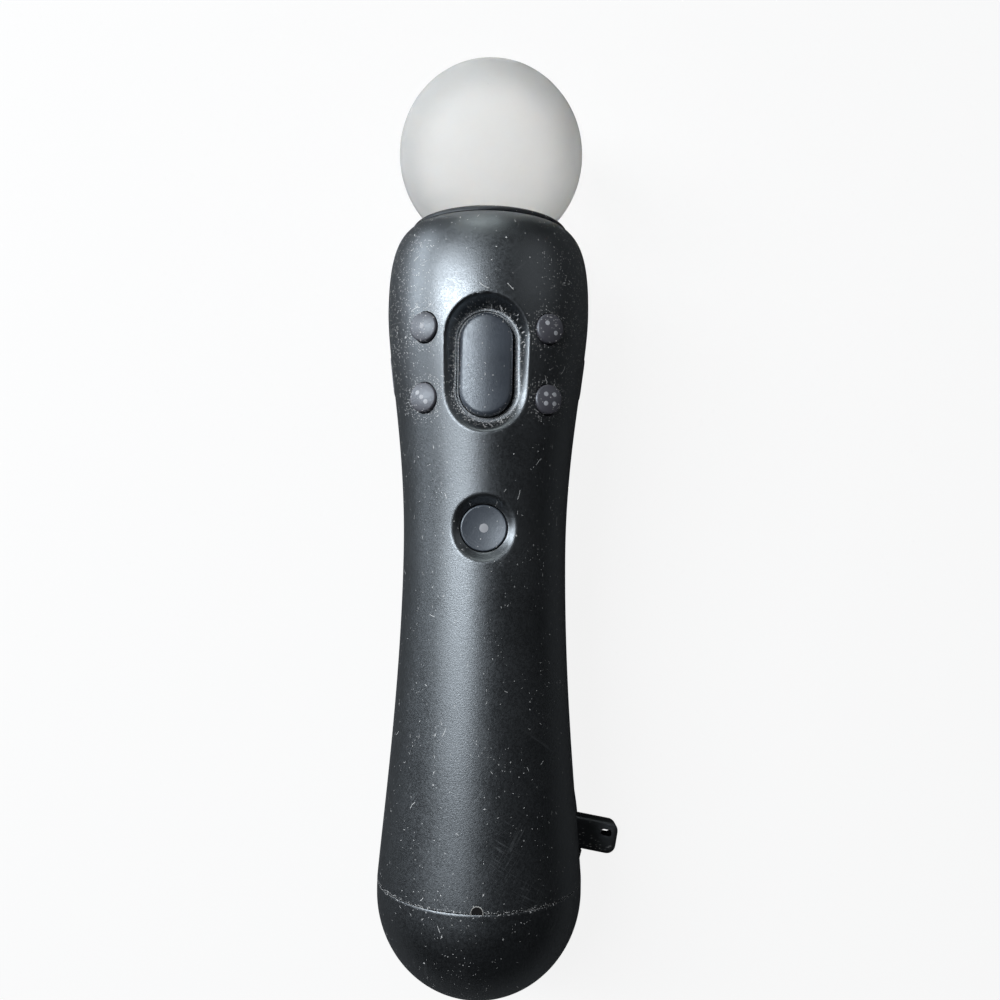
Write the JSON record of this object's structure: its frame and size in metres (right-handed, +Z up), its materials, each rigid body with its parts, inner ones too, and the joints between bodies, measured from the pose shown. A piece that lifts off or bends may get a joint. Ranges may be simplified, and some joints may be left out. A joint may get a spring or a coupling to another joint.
{
  "type": "motion controller wand",
  "caption": "Hand-held black motion wand with a translucent light sphere, button face, rear trigger, charging end and wrist strap, laid on its back.",
  "frame": {"origin": "middle of the bounding box at the floor, strap left out", "axes": "+Y along the wand toward the light sphere, +Z up out of the button face, +X to the right"},
  "size_m": [0.0526, 0.195, 0.0507],
  "materials": {
    "shell_black": "fine satin grain",
    "key_black": "smooth satin",
    "collar_black": "semi gloss",
    "sphere_white": "soft translucent matte",
    "diffuser_white": "frosted",
    "frame_grey": "moulded",
    "board_green": "solder mask",
    "mat_rubber": "matte",
    "steel": "bright",
    "gold": "plated",
    "battery_blue": "shrink wrap",
    "socket_black": "moulded",
    "lens_clear": "translucent",
    "strap_cord": "braided cord",
    "strap_plastic": "satin"
  },
  "bodies": {
    "body": {"front_shell": "shell_black", "rear_shell": "shell_black", "base_cap": "shell_black", "collar_ring": "collar_black", "light_sphere": "sphere_white", "light_diffuser": "diffuser_white", "light_board": "board_green", "light_package": "diffuser_white", "inner_frame": "frame_grey", "main_board": "board_green", "key_mat": "mat_rubber", "select_dome": "mat_rubber", "start_dome": "mat_rubber", "trigger_pin": "steel", "trigger_spring": "steel", "battery_pack": "battery_blue", "rumble_motor": "steel", "port_board": "board_green", "usb_socket": "steel", "extension_socket": "socket_black", "charge_contacts": "gold", "status_lens": "lens_clear", "strap_string": "strap_cord", "strap_ferrule": "strap_plastic", "strap_lock": "strap_plastic", "strap_band": "strap_cord"},
    "main_button": {"main_button": "key_black"},
    "key_upper_left": {"key_upper_left": "key_black"},
    "key_lower_left": {"key_lower_left": "key_black"},
    "key_upper_right": {"key_upper_right": "key_black"},
    "key_lower_right": {"key_lower_right": "key_black"},
    "home_button": {"home_button": "key_black"},
    "select_button": {"select_button": "key_black"},
    "start_button": {"start_button": "key_black"},
    "trigger": {"trigger": "key_black"},
    "rumble_weight": {"rumble_weight": "steel"}
  },
  "joints": [
    {"name": "main_press", "type": "slide", "parent": "body", "child": "main_button", "axis": [0, 0.063, -0.998], "range_m": [0, 0.0012], "stiffness_N_per_m": 900, "springref_m": -0.0008},
    {"name": "key_upper_left_press", "type": "slide", "parent": "body", "child": "key_upper_left", "axis": [0.4067, 0.0575, -0.9117], "range_m": [0, 0.0008], "stiffness_N_per_m": 900, "springref_m": -0.0005},
    {"name": "key_lower_left_press", "type": "slide", "parent": "body", "child": "key_lower_left", "axis": [0.4067, 0.0575, -0.9117], "range_m": [0, 0.0008], "stiffness_N_per_m": 900, "springref_m": -0.0005},
    {"name": "key_upper_right_press", "type": "slide", "parent": "body", "child": "key_upper_right", "axis": [-0.4067, 0.0575, -0.9117], "range_m": [0, 0.0008], "stiffness_N_per_m": 900, "springref_m": -0.0005},
    {"name": "key_lower_right_press", "type": "slide", "parent": "body", "child": "key_lower_right", "axis": [-0.4067, 0.0575, -0.9117], "range_m": [0, 0.0008], "stiffness_N_per_m": 900, "springref_m": -0.0005},
    {"name": "home_press", "type": "slide", "parent": "body", "child": "home_button", "axis": [0, 0.063, -0.998], "range_m": [0, 0.0008], "stiffness_N_per_m": 1000, "springref_m": -0.0005},
    {"name": "select_press", "type": "slide", "parent": "body", "child": "select_button", "axis": [0.9923, 0.124, 0.0078], "range_m": [0, 0.0006], "stiffness_N_per_m": 1200, "springref_m": -0.0004},
    {"name": "start_press", "type": "slide", "parent": "body", "child": "start_button", "axis": [-0.9923, 0.124, 0.0078], "range_m": [0, 0.0006], "stiffness_N_per_m": 1200, "springref_m": -0.0004},
    {"name": "trigger_pull", "type": "hinge", "parent": "body", "child": "trigger", "pos_m": [0, 0.04194, 0.01517], "axis": [-1, 0, 0], "range_deg": [0, 14], "stiffness_Nm_per_rad": 0.08, "springref_deg": -28.65, "deforming": ["trigger_spring"]},
    {"name": "rumble_spin", "type": "hinge", "parent": "body", "child": "rumble_weight", "pos_m": [0, -0.01914, 0.01613], "axis": [0, 0.998, 0.063], "continuous": true}
  ]
}
